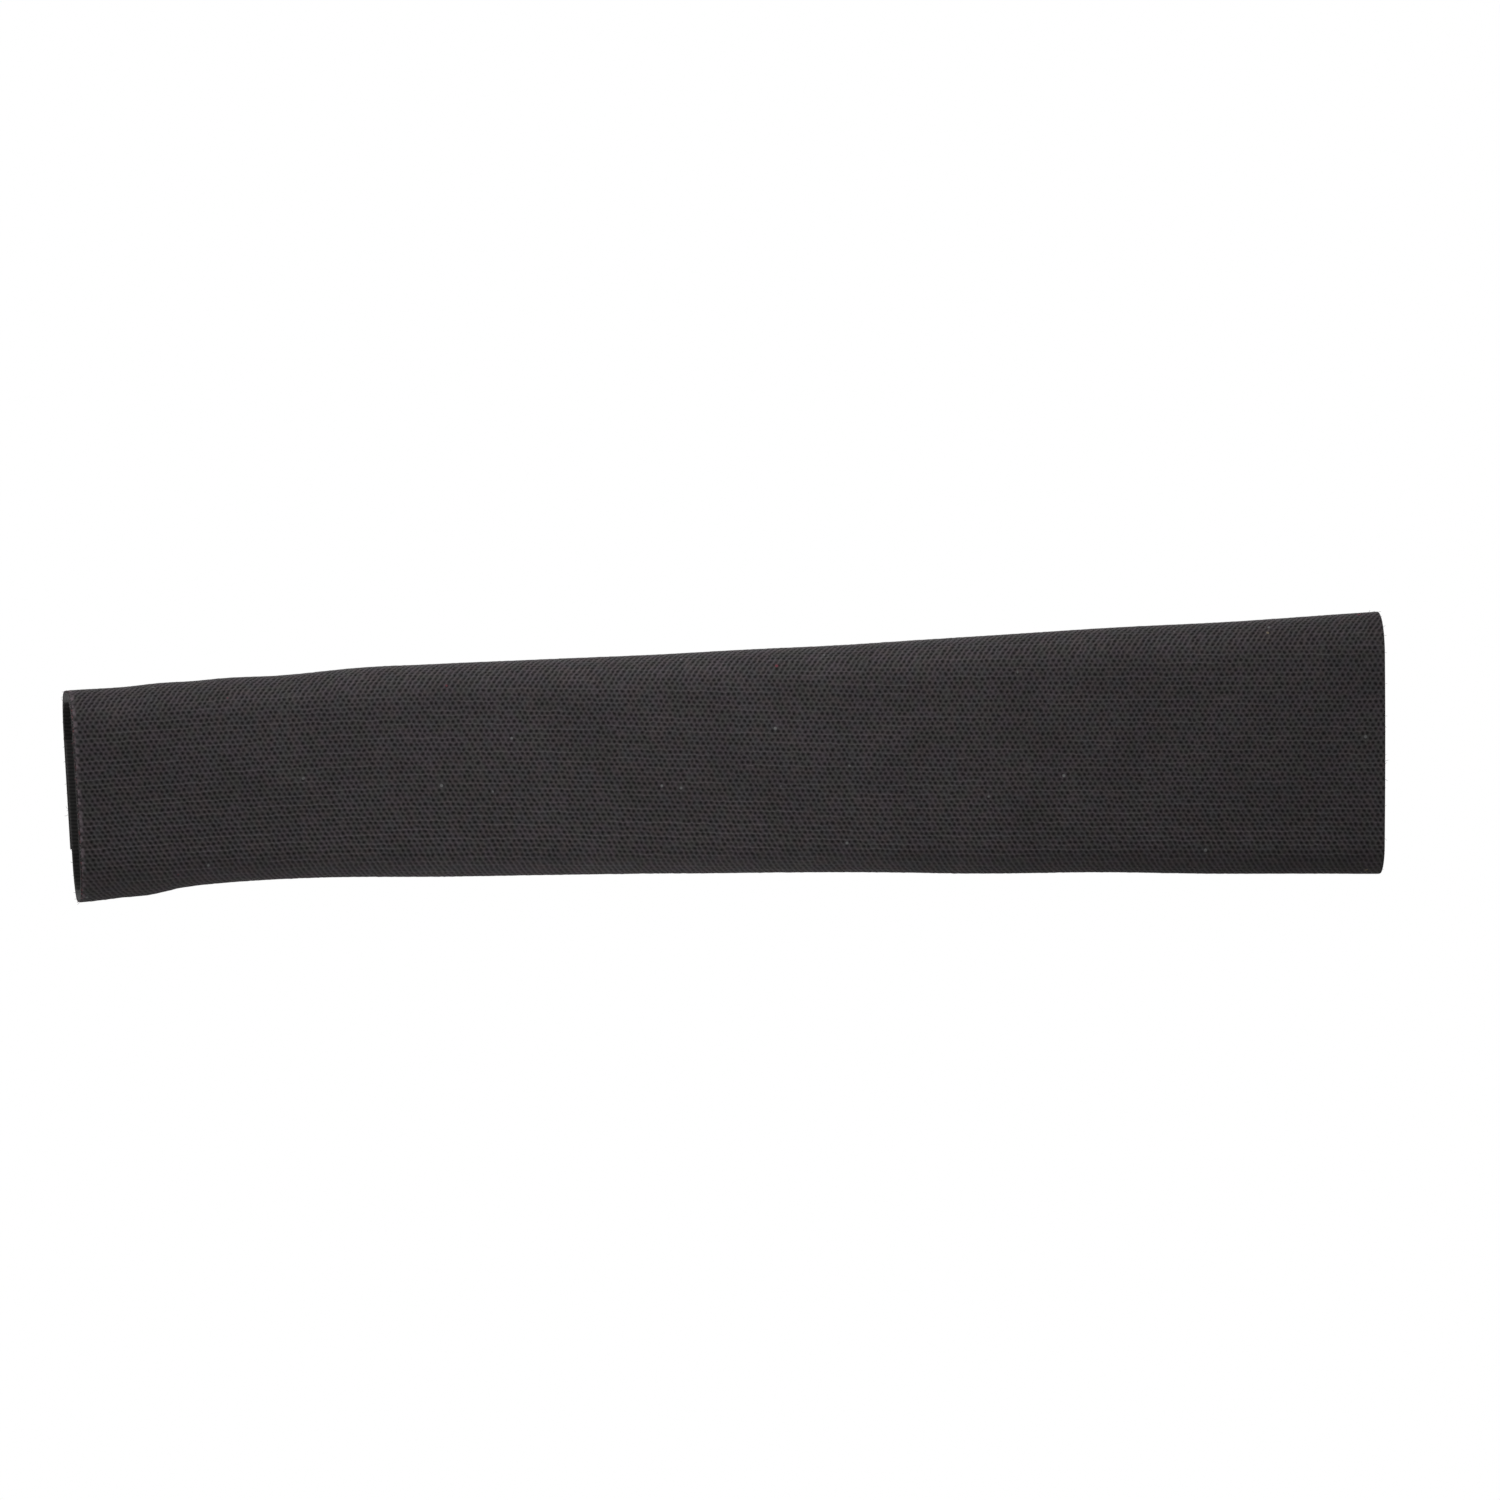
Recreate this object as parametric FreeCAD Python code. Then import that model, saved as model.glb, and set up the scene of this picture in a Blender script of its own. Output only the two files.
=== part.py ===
"""Wrap-around neoprene chainstay protector, closed into a sleeve with hook-and-loop tape.

One sheet of neoprene is rolled into a tapered sleeve. Its two flaps meet on the +Y side: the lower one lies
inside, and the upper one laps over it and is held there by two strips of tape.

X runs along the sleeve from the small rear end to the tall front end, Z is up, and -Y is the outer side.
The origin is on the sleeve's centre line at mid-length, in its hollow. All lengths are in millimetres.
"""

import FreeCAD, Part
import math
import os

# Sleeve outline, seen from the outer side
LENGTH = 276.0
TOP_REAR = 16.9  # centre line up to the top edge, at the rear end
TOP_MIDDLE = 23.2
TOP_FRONT = 31.5
BOTTOM = 23.1  # centre line down to the bottom edge, where the sleeve is snug
FLARE = 4.5  # how much lower the slack bottom edge hangs at the rear end
FLARE_LENGTH = 22.0
BEND_ANGLE = 3.4  # degrees that the rear end droops
BEND_LENGTH = 70.0

# Section across the sleeve
HOLLOW_WIDTH = 21.0
WALL = 2.5
TOP_RADIUS = 9.5
BOTTOM_RADIUS = 6.3
CROWN = 1.4  # how far the outer face is bowed out

# Hook-and-loop closure between the two flaps
TAPE_WIDTH = 19.0
TAPE_THICKNESS = 1.2
TAPE_MARGIN = 2.0  # sheet left bare beside a tape, along the flap's free edge
TAPE_INSET = 4.0  # sheet left bare past a tape's end
FLAP_CLEARANCE = 1.0  # from the top round down to the lower flap's free edge

STATIONS = 17  # sections along the sleeve, with straight runs from each to the next
STATION_CROWDING = 2.0  # over 1 sets the stations closer together towards the flared rear end
BOW_SHARE = 0.9  # of the straight run between the rounds that the bow of the outer face takes up


def centre_line(distance):
    """Height and slope of the centre line at a distance from the rear end."""
    left = max(BEND_LENGTH - distance, 0.0)
    curvature = math.tan(math.radians(BEND_ANGLE)) / BEND_LENGTH
    return -curvature * left * left / 2, curvature * left


def top_height(distance):
    """Top edge above the centre line, a parabola through its rear, middle and front heights."""
    share = distance / LENGTH
    sag = (TOP_REAR + TOP_FRONT) / 2 - TOP_MIDDLE
    return TOP_REAR + (TOP_FRONT - TOP_REAR) * share - 4 * sag * share * (1 - share)


def bottom_depth(distance):
    """Bottom edge below the centre line, lower towards the slack rear end."""
    return BOTTOM + FLARE / (1 + (distance / FLARE_LENGTH) ** 2)


def station_distances(inset):
    """Distances of the sections from the rear end, starting and ending an inset inside the sleeve."""
    run = LENGTH - 2 * inset
    steps = STATIONS - 1
    return [inset + run * (step / steps) ** STATION_CROWDING for step in range(STATIONS)]


def placed(distance, points):
    """Points given across and up in the section plane at a distance from the rear end, in space."""
    height, slope = centre_line(distance)
    origin = FreeCAD.Vector(distance - LENGTH / 2, 0, height)
    up = FreeCAD.Vector(-slope, 0, 1).normalize()
    return [origin + FreeCAD.Vector(0, across, 0) + up * rise for across, rise in points]


# Places across the section, from the outer face to the upper flap, at mid-thickness of the sheet
OUTER_FACE = -(HOLLOW_WIDTH + WALL) / 2
LOWER_FLAP = (HOLLOW_WIDTH + WALL) / 2
UPPER_FLAP = LOWER_FLAP + WALL + 2 * TAPE_THICKNESS


def lower_flap_edge(distance):
    """Height of the lower flap's free edge, just under the sleeve's top round."""
    return top_height(distance) - TOP_RADIUS - FLAP_CLEARANCE


def upper_flap_edge(distance):
    """Height of the upper flap's free edge, below the tape and its margins."""
    return lower_flap_edge(distance) - TAPE_WIDTH - 2 * TAPE_MARGIN


def sheet_corners(distance):
    """Corners of the sheet's middle line with the radius of each, from the lower flap round to the upper."""
    top = top_height(distance) - WALL / 2
    bottom = WALL / 2 - bottom_depth(distance)
    top_round = TOP_RADIUS - WALL / 2
    bottom_round = BOTTOM_RADIUS - WALL / 2
    half_height = (top - bottom) / 2
    bow_angle = math.atan(CROWN / half_height)
    bow_run = BOW_SHARE * (half_height - max(top_round, bottom_round))
    return [
        ((LOWER_FLAP, lower_flap_edge(distance)), None),
        ((LOWER_FLAP, bottom), bottom_round),
        ((OUTER_FACE, bottom), bottom_round),
        ((OUTER_FACE - CROWN, (top + bottom) / 2), bow_run / math.tan(bow_angle)),
        ((OUTER_FACE, top), top_round),
        ((UPPER_FLAP, top), top_round),
        ((UPPER_FLAP, upper_flap_edge(distance)), None),
    ]


def rounded(before, corner, after, radius):
    """Centre of the arc that rounds a corner, and its start, middle and end."""
    corner = FreeCAD.Vector(*corner, 0)
    back = (FreeCAD.Vector(*before, 0) - corner).normalize()
    ahead = (FreeCAD.Vector(*after, 0) - corner).normalize()
    half_angle = back.getAngle(ahead) / 2
    run = radius / math.tan(half_angle)
    inward = (back + ahead).normalize()
    centre = corner + inward * (radius / math.sin(half_angle))
    return centre, (corner + back * run, centre - inward * radius, corner + ahead * run)


def sheet_side(corners, offset):
    """Points of the sheet's face at an offset outwards from its middle line: end, arcs by threes, end."""
    points = []
    for index in range(1, len(corners) - 1):
        places = [corner for corner, _ in corners[index - 1 : index + 2]]
        radius = corners[index][1]
        centre, arc = rounded(*places, radius)
        points += [centre + (point - centre) * ((radius + offset) / radius) for point in arc]
    first = FreeCAD.Vector(points[0].x, corners[0][0][1], 0)
    last = FreeCAD.Vector(points[-1].x, corners[-1][0][1], 0)
    return [(point.x, point.y) for point in [first, *points, last]]


def side_edges(points):
    """Lines and arcs through the points of one face of the sheet."""
    edges = [Part.LineSegment(points[0], points[1]).toShape()]
    for index in range(1, len(points) - 1, 3):
        edges.append(Part.Arc(*points[index : index + 3]).toShape())
        edges.append(Part.LineSegment(points[index + 2], points[index + 3]).toShape())
    return edges


def sheet_wire(distance):
    """Outline of the rolled sheet in the section plane at a distance from the rear end."""
    corners = sheet_corners(distance)
    outside = placed(distance, sheet_side(corners, WALL / 2))
    inside = placed(distance, sheet_side(corners, -WALL / 2))
    edges = side_edges(outside)
    edges.append(Part.LineSegment(outside[-1], inside[-1]).toShape())
    edges += side_edges(inside[::-1])
    edges.append(Part.LineSegment(inside[0], outside[0]).toShape())
    return Part.Wire(edges)


def tape_wire(distance, seat):
    """Outline of a tape whose face nearer to the hollow lies at seat, across the section."""
    top = lower_flap_edge(distance) - TAPE_MARGIN
    bottom = top - TAPE_WIDTH
    far = seat + TAPE_THICKNESS
    corners = placed(distance, [(seat, bottom), (far, bottom), (far, top), (seat, top)])
    return Part.makePolygon([*corners, corners[0]])


def neoprene_wrap():
    """The rolled sheet, from end to end of the sleeve."""
    return Part.makeLoft([sheet_wire(distance) for distance in station_distances(0.0)], True, True)


def tape(seat):
    """One strip of tape along a flap."""
    wires = [tape_wire(distance, seat) for distance in station_distances(TAPE_INSET)]
    return Part.makeLoft(wires, True, True)


def main():
    """Writes each piece to its own file."""
    loop_seat = LOWER_FLAP + WALL / 2
    pieces = {
        "neoprene_wrap": neoprene_wrap(),
        "loop_strip": tape(loop_seat),
        "hook_strip": tape(loop_seat + TAPE_THICKNESS),
    }
    os.makedirs("parts", exist_ok=True)
    for name, shape in pieces.items():
        shape.exportStep(f"parts/{name}.step")


main()
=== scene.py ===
"""Dresses a wrap-around chainstay protector: knit-faced neoprene, its two tapes and their stitching.

Everything is in the part's own frame, in metres. X runs along the sleeve from the small rear end to the
tall front end, Z is up, and -Y is the outer side. A distance is measured from the rear end.
"""

import math

import bmesh
import bpy
import numpy as np
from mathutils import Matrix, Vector


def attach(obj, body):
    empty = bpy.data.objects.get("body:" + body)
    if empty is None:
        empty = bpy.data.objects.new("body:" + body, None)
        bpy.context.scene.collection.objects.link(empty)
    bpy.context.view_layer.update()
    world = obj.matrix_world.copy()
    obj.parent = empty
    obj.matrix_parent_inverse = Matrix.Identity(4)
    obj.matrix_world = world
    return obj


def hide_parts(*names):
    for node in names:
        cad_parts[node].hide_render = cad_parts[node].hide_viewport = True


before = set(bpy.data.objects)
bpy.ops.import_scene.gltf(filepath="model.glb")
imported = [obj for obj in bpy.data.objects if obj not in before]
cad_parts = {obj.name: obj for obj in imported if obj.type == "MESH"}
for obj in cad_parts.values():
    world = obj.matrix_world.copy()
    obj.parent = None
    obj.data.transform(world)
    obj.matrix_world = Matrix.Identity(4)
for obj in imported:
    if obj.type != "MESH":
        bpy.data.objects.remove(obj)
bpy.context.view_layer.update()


def grey(level, red=1.0, blue=1.0):
    """A colour of about that level, with a tint."""
    return (level * red, level, level * blue, 1.0)


# Sleeve outline, seen from the outer side
LENGTH = 0.276
TOP_REAR = 0.0169  # centre line up to the top edge, at the rear end
TOP_MIDDLE = 0.0232
TOP_FRONT = 0.0315
BOTTOM = 0.0231  # centre line down to the bottom edge, where the sleeve is snug
FLARE = 0.0045  # how much lower the slack bottom edge hangs at the rear end
FLARE_LENGTH = 0.022
BEND_ANGLE = math.radians(3.4)  # by which the rear end droops
BEND_LENGTH = 0.07

# Section across the sleeve
HOLLOW_WIDTH = 0.021
WALL = 0.0025
TOP_RADIUS = 0.0095
BOTTOM_RADIUS = 0.0063
SLACK_RADIUS = 0.003  # added to the bottom rounds at the slack rear end
CROWN = 0.0014  # how far the outer face is bowed out
BOW_SHARE = 0.9  # of the straight run between the rounds that the bow takes up
LEVEL_SAMPLES = 60  # points up the outer face, to find where it crosses the centre line's height

# Closure
TAPE_WIDTH = 0.019
TAPE_THICKNESS = 0.0012
TAPE_MARGIN = 0.002  # sheet left bare beside a tape, along the flap's free edge
TAPE_INSET = 0.004  # sheet left bare past a tape's end
TAPE_LENGTH = LENGTH - 2 * TAPE_INSET
FLAP_CLEARANCE = 0.001  # from the top round down to the lower flap's free edge

# Places across the section, from the outer face to the upper flap, at mid-thickness of the sheet
OUTER_FACE = -(HOLLOW_WIDTH + WALL) / 2
LOWER_FLAP = (HOLLOW_WIDTH + WALL) / 2
UPPER_FLAP = LOWER_FLAP + WALL + 2 * TAPE_THICKNESS
LOOP_SEAT = LOWER_FLAP + WALL / 2
HOOK_SEAT = UPPER_FLAP - WALL / 2

# Knit of the outer face: staggered pits between ridges
PITS_ALONG = 236
KNIT_COLUMNS = 2 * PITS_ALONG
ROW_PITCH = 0.000957
STAGGER = 0.5  # of a pitch, from each row to the next, in the knit and on the tapes
PIT_DEPTH = 0.00014
PIT_JITTER = 0.00002
SWAY = 0.0015  # how far the rows rise out of level, at most
SWAY_PLACE = 0.083
SWAY_LENGTH = 0.06

# Gentle unevenness of the sheet: waves in radians per metre along and round it, with their starts
SWELL = 0.00012
SWELL_WAVES = ((61, 55, 0), (97, -83, 2), (151, 31, 4))

# Soft dents along the top and the bottom edge: distance, half-length and depth, negative for a swelling
TOP_DENTS = (
    (0.012, 0.008, 0.0005),
    (0.026, 0.006, 0.0004),
    (0.044, 0.010, 0.0004),
    (0.063, 0.008, -0.0002),
    (0.080, 0.014, -0.0002),
    (0.160, 0.015, 0.0001),
    (0.210, 0.020, -0.0002),
)
BOTTOM_DENTS = (
    (0.015, 0.005, -0.0006),
    (0.080, 0.040, -0.0008),
    (0.135, 0.015, -0.0003),
    (0.190, 0.020, -0.0005),
    (0.265, 0.050, -0.0007),
)

# Lining of the inner face
LINING_COLUMNS = 60
LINING_PITCH = 0.0015

# Cut edge of the sheet
SHEET_SIDES = 4
EDGE_ROUND = 0.0003
EDGE_BEVEL = 0.3  # of the round, how deep its middle lies
CLOTH = 0.00055  # the knit on either face of the foam
EDGE_GROOVE = 0.00012  # how far the foam draws back beside the cloth
ROW_CLEARANCE = 0.35  # of a row, left free beside the cut edge

# Materials of the sheet, in order, and the profile of its cut edge: outset, depth and material
KNIT, FOAM, LINING, RIM = range(4)
EDGE_PROFILE = (
    ((1 - EDGE_BEVEL) * EDGE_ROUND, EDGE_BEVEL * EDGE_ROUND, RIM),
    (EDGE_ROUND, EDGE_ROUND, RIM),
    (EDGE_ROUND, CLOTH, RIM),
    (EDGE_ROUND - EDGE_GROOVE, CLOTH + EDGE_GROOVE, FOAM),
    (EDGE_ROUND - EDGE_GROOVE / 2, WALL / 2, FOAM),
    (EDGE_ROUND - EDGE_GROOVE, WALL - CLOTH - EDGE_GROOVE, FOAM),
    (EDGE_ROUND, WALL - CLOTH, FOAM),
    (EDGE_ROUND, WALL - EDGE_ROUND, LINING),
    ((1 - EDGE_BEVEL) * EDGE_ROUND, WALL - EDGE_BEVEL * EDGE_ROUND, LINING),
)

# Loose fibres along the cut edge
FRAYS = 420
FRAY_POINTS = 5
FRAY_LENGTH = (0.0003, 0.0009)
FRAY_WIDTH = 0.00006
FRAY_LEAST = (0.2, -0.2, -1.0)  # least share of a fibre's heading outwards, off the face and sideways
FRAY_MOST = (0.9, 0.5, 1.0)

# Layout of the texture map: the outer face below, then the lining, then the cut edge
BAKE_MAP = "OFBake"
FIRST_ROW = -100
LAST_ROW = 120
OUTER_SHARE = 0.5
LINING_BASE = 0.52
LINING_SHARE = 0.4
EDGE_BASE = 0.94
EDGE_SHARE = 0.05

# Layout of a tape backing's map: its face, its underside, its long edges and its ends
BACKING_MAP = 0.97
END_PLACE = 0.98
TOP_BASE = 0.0
LOW_EDGE_BASE = 0.44
UNDER_BASE = 0.5
HIGH_EDGE_BASE = 0.94
STRIP_SHARE = 0.42
EDGE_STRIP = 0.04

# Layout of one fibre's cell of a texture map: its side, and a round place for each end
TUBE_SHARE = 0.85
TUBE_HEIGHT = 0.95
CAP_PLACE = 0.92
CAP_LEVELS = (0.25, 0.7)
CAP_SIZE = 0.05

# Tapes: a woven backing with plain selvages, and loops or hooks between them
BACKING = 0.00045
BACKING_EDGE = 0.4  # of the backing's thickness, left at its soft long edges
BACKING_RIB = 0.0005
BACKING_RELIEF = 0.00002
BACKING_ROWS = 12
WARP_PITCH = 0.0006
SELVAGE = 0.002
FIELD_START = 0.75  # of a pitch, from a tape's end to its first loop or hook
LOOP_PITCH = 0.0015
LOOP_ROWS = 12
LOOP_POINTS = 8
LOOP_WIDTH = 0.0008
LOOP_HEIGHT = (0.0005, 0.00072)
LOOP_LEAN = 0.4
LOOP_FULLNESS = 0.7  # below 1 makes the loops squarer
LOOP_BULGE = 0.4  # how much wider they are above their feet
LOOP_FIBRE = 0.00011
HOOK_PITCH = 0.0013
HOOK_ROWS = 10
HOOK_STEM = 0.0004
HOOK_BEND = 0.00017
HOOK_FIBRE = 0.00018
HOOK_ANGLES = (0, 40, 80, 120, 160, 200)  # degrees round the bend of a hook
HOOK_YAW = 0.2
ROOT = 0.00008  # how deep a fibre's foot is set into the backing
FIBRE_SIDES = 4

# Sewing thread
STITCH = 0.003
STITCH_GAP = 0.00035
STITCH_INSET = 0.0011
STITCH_POINTS = 9
STITCH_DIVE = 0.0005
STITCH_LEVELNESS = 6  # higher keeps more of a stitch level between its ends
STITCH_SINK = 0.00028
STITCH_GROOVE = 0.0003
STITCH_GROOVE_WIDTH = 0.0008
THREAD = 0.00045
THREAD_SIDES = 6
PLY_PITCH = 0.0005
PLY_RELIEF = THREAD / 6

# Seeds of the random draws
KNIT_SEED, FRAY_SEED, LOOP_SEED, HOOK_SEED = range(7, 11)

# Painted shade in the pits, and painted raking light that draws them out into slanting lines on the rounds
# where the sheet turns over
PIT_STRAY = 0.6  # of the spacing
STRAY_SCALE = 0.6
UNEVEN_SCALE = 0.75
TOP_RAKING_RISE = (0.15, 0.7)  # rise of the normal where the painted slanting lines begin, and where they are full, on top
BOTTOM_RAKING_RISE = (-0.2, -0.8)
RISING_ROWS = (-20.0, 16.0)  # rows between which the painted light makes the rising ridges clearer
RISING_SHARES = (0.5, 0.95)
RISING_LOSS = 0.5  # at the bottom
FALLING_LOSS = 0.7  # on top
LEVEL_SHARE = 0.8
LEVEL_LOSS = 0.5  # on top and at the bottom
PIT_SPAN = (-0.5, 1.0)  # of the ridges' sum, where a pit begins and where it is deepest
PIT_FALLOFF = 0.6
PIT_CLEARNESS = ((0.25, 0.6), (0.55, 0.9))
BOTTOM_LOSS = 0.3  # of the pits' clearness, at the bottom
# painted shade in the pits, for the shade that falls in their hollows
PIT_SHADE_COLOUR = grey(0.002, 1.1, 1.05)

# Yarn of the knit, with noise in cells per metre, painted highlights on the ridges and frayed stitches at
# the rear end
FIBRE_SCALE = 9000.0
FIBRE_RELIEF = 0.12  # of a pit's depth
CLOUD_SCALE = 90.0
CLOUD_SPAN = (0.3, 0.7)
CLOUD_SHARE = 0.2
DYE_SCALE = 300.0
DYE_SPAN = (0.35, 0.65)
YARN = (grey(0.0365), grey(0.075))
PURPLE_TINTS = (grey(1.0, 1.035, 1.015), grey(1.0, 1.175, 1.075))
BLUE_TINTS = (grey(1.0, 1.0, 0.955), grey(1.0, 1.0, 1.04))
HIGHLIGHT_STRETCH = 0.08  # cells of noise to a stitch, along the painted highlights
HIGHLIGHT_CHANCE = ((0.5, 0.65), (0.0, 0.35))
HIGHLIGHT_SPAN = ((-1.0, -0.7), (1.0, 0.0))
# colour of the painted highlight on the ridges
HIGHLIGHT_COLOUR = grey(0.11, 1.1, 1.05)
FRAYED_STITCHES = ((0.1, 0.9), (1.0, 0.0))
FRAYED_SPAN = (0.4, 0.6)
FRAYED_COLOUR = grey(0.095, 1.22, 1.1)

# Lint on the knit: pale, reddish and yellowish
LINT_SPACING = 0.005
LINT_SIZE = 0.045  # of the spacing
LINT_RARITY = 0.65
LINT_TURNS = (0.5, 0.75)
LINT = (grey(0.12), (0.12, 0.035, 0.045, 1.0), (0.16, 0.135, 0.1, 1.0))

# Foam, lining and cut edge, with noise in cells per metre
FINE_RELIEF = 0.0001
FOAM_CELLS = 7000.0
FOAM_GRAIN = 3000.0
FOAM_SHADES = (grey(0.016), grey(0.05, 1.05))
LINING_RIBS = 400.0
LINING_GRAIN = 4000.0
LINING_SHADES = (grey(0.025), grey(0.075, 1.05))
YARN_ENDS = 2600.0
YARN_END_SPAN = (0.45, 0.62)
PINK_SCALE = 700.0
PINK_SPAN = (0.45, 0.6)
WEAR = ((-0.45 * LENGTH, 0.45 * LENGTH), (1.0, 0.15))  # more pale ends towards the rear
DARK_FIBRE = grey(0.03, 1.1, 1.05)
RIM_PALE = (grey(0.10, 1.05, 1.03), (0.13, 0.06, 0.065, 1.0))
FRAY_TURNS = (0.6, 0.85)
FRAY_SHADES = (DARK_FIBRE, grey(0.16), (0.16, 0.06, 0.07, 1.0))

# Tapes and thread, with noise in cells per metre
WEAVE_SHARE = 0.25
WEAVE_GRAIN = 2500.0
LOOP_BACKING_SHADES = (grey(0.014), grey(0.04))
HOOK_BACKING_SHADES = (grey(0.012), grey(0.035))
DUST_SCALE = 400.0
LOOP_SHADES = (grey(0.018), grey(0.07))
SCUFF_SCALE = 1500.0
SCUFF_ROUGHNESS = ((0.3, 0.7), (0.3, 0.55))
HOOK_SHADES = (grey(0.014), grey(0.04))
PLY_SHARE = 0.3
FUZZ_SCALE = 5000.0
THREAD_SHADES = (grey(0.02), grey(0.085, 1.04, 1.02))

# Floor and background
WHITE = grey(1.0)
FLOOR_DROP = 0.21
FLOOR_RADIUS = 0.85
FLOOR_SEGMENTS = 96
FLOOR_FADE = ((0.3 * FLOOR_RADIUS, 0.95 * FLOOR_RADIUS), (0.5, 1.0))
FLOOR_SHADES = (grey(0.3), grey(0.9))  # as it lights the sleeve, and as it is seen
AMBIENT = 0.594  # strength of the background as a light
BACKGROUND = 1.0  # its strength where it is seen

# Lamps: name, place, point that it faces, size and power
LAMPS = (
    ("key", (-0.03, -0.135, 0.21), (-0.03, 0, 0), 0.12, 0.395),
    ("low", (-0.03, -0.05, -0.14), (-0.03, 0, -0.02), 0.08, 0.085),
    ("back", (0.1, 0.9, 0.35), (0, 0, 0), 0.6, 4.0),
)

# Camera
VIEW_AZIMUTH = math.radians(-6.3)
VIEW_DISTANCE = 3.0
VIEW_REACH = 100.0
VIEW_CENTRE = Vector((0.0037, OUTER_FACE, 0.0023))
VIEW_WIDTH = 0.3143
SENSOR = 36.0  # millimetres


def centre_line(distance):
    """Height and slope of the centre line."""
    left = np.maximum(BEND_LENGTH - distance, 0.0)
    curvature = math.tan(BEND_ANGLE) / BEND_LENGTH
    return -curvature * left * left / 2, curvature * left


def top_height(distance):
    """Top edge above the centre line, a parabola through its rear, middle and front heights."""
    share = distance / LENGTH
    sag = (TOP_REAR + TOP_FRONT) / 2 - TOP_MIDDLE
    return TOP_REAR + (TOP_FRONT - TOP_REAR) * share - 4 * sag * share * (1 - share)


def slackness(distance):
    """How slack the sheet hangs, from 1 at the rear end down towards 0."""
    return 1 / (1 + (distance / FLARE_LENGTH) ** 2)


def bottom_depth(distance):
    """Bottom edge below the centre line, lower towards the slack rear end."""
    return BOTTOM + FLARE * slackness(distance)


def lower_flap_edge(distance):
    """Height of the lower flap's free edge."""
    return top_height(distance) - TOP_RADIUS - FLAP_CLEARANCE


def upper_flap_edge(distance):
    """Height of the upper flap's free edge."""
    return lower_flap_edge(distance) - TAPE_WIDTH - 2 * TAPE_MARGIN


def tape_edges(distance):
    """Heights of the lower and the upper edge of both tapes."""
    top = lower_flap_edge(distance) - TAPE_MARGIN
    return top - TAPE_WIDTH, top


def direction_in_space(distance, across, rise):
    """A direction given across and up in the section plane at a distance, in space."""
    slope = centre_line(distance)[1]
    length = np.hypot(1, slope)
    return np.stack(np.broadcast_arrays(-rise * slope / length, across, rise / length), -1)


def in_space(distance, across, rise):
    """Points given across and up in the section plane at a distance, in space."""
    middle = np.broadcast_arrays(distance - LENGTH / 2, 0.0, centre_line(distance)[0])
    return np.stack(middle, -1) + direction_in_space(distance, across, rise)


def unit(vectors):
    """Vectors brought to length one."""
    return vectors / np.linalg.norm(vectors, axis=-1, keepdims=True)


class Section:
    """The rolled sheet's line at one distance: straight runs and arcs, from the lower flap to the upper."""

    FACE_START, FACE_END = 4, 7  # runs and arcs of the outer face

    def __init__(self, distance):
        top = top_height(distance) - WALL / 2
        bottom = WALL / 2 - bottom_depth(distance)
        top_round = TOP_RADIUS - WALL / 2
        bottom_round = BOTTOM_RADIUS + SLACK_RADIUS * slackness(distance) - WALL / 2
        half_height = (top - bottom) / 2
        bow_run = BOW_SHARE * (half_height - max(top_round, bottom_round))
        corners = [
            ((LOWER_FLAP, lower_flap_edge(distance)), None),
            ((LOWER_FLAP, bottom), bottom_round),
            ((OUTER_FACE, bottom), bottom_round),
            ((OUTER_FACE - CROWN, (top + bottom) / 2), bow_run * half_height / CROWN),
            ((OUTER_FACE, top), top_round),
            ((UPPER_FLAP, top), top_round),
            ((UPPER_FLAP, upper_flap_edge(distance)), None),
        ]
        self.distance = distance
        self.set_runs([np.array(place) for place, _ in corners], [radius for _, radius in corners])

    def set_runs(self, places, radii):
        """Start, heading, length and curvature of each straight run and each arc."""
        steps = np.diff(places, axis=0)
        headings = np.unwrap(np.arctan2(steps[:, 1], steps[:, 0]))
        ahead = np.stack([np.cos(headings), np.sin(headings)], -1)
        runs = []
        place = places[0]
        for index, heading in enumerate(headings):
            last = index == len(headings) - 1
            turn = 0.0 if last else headings[index + 1] - heading
            cut = 0.0 if last else radii[index + 1] * math.tan(abs(turn) / 2)
            end = places[index + 1] - ahead[index] * cut
            runs.append((place, heading, np.linalg.norm(end - place), 0.0))
            if not last:
                radius = radii[index + 1]
                runs.append((end, heading, radius * abs(turn), math.copysign(1 / radius, turn)))
                place = places[index + 1] + ahead[index + 1] * cut
        self.starts, self.angles, self.lengths, self.bends = map(np.array, zip(*runs))

    def stops(self, offset):
        """Arc lengths at which the runs start and end, on the face at an offset outwards."""
        return np.concatenate([[0], np.cumsum(self.lengths * (1 + offset * abs(self.bends)))])

    def trace(self, arc, offset):
        """Places and outward normals, across and up, at arc lengths along the face at an offset."""
        stops = self.stops(offset)
        run = np.clip(np.searchsorted(stops, arc, side="right") - 1, 0, len(self.bends) - 1)
        past = arc - stops[run]
        angle = self.angles[run]
        turned = past * self.bends[run] / (1 + offset * abs(self.bends[run]))
        chord = past * np.sinc(turned / (2 * math.pi))
        start = self.starts[run] + offset * np.stack([-np.sin(angle), np.cos(angle)], -1)
        middle = angle + turned / 2
        places = start + chord[:, None] * np.stack([np.cos(middle), np.sin(middle)], -1)
        normals = np.stack([-np.sin(angle + turned), np.cos(angle + turned)], -1)
        return places, normals

    def level(self, offset):
        """Arc length at which the outer face crosses the centre line's height."""
        stops = self.stops(offset)
        samples = np.linspace(stops[self.FACE_START], stops[self.FACE_END], LEVEL_SAMPLES)
        return np.interp(0.0, self.trace(samples, offset)[0][:, 1], samples)


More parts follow.
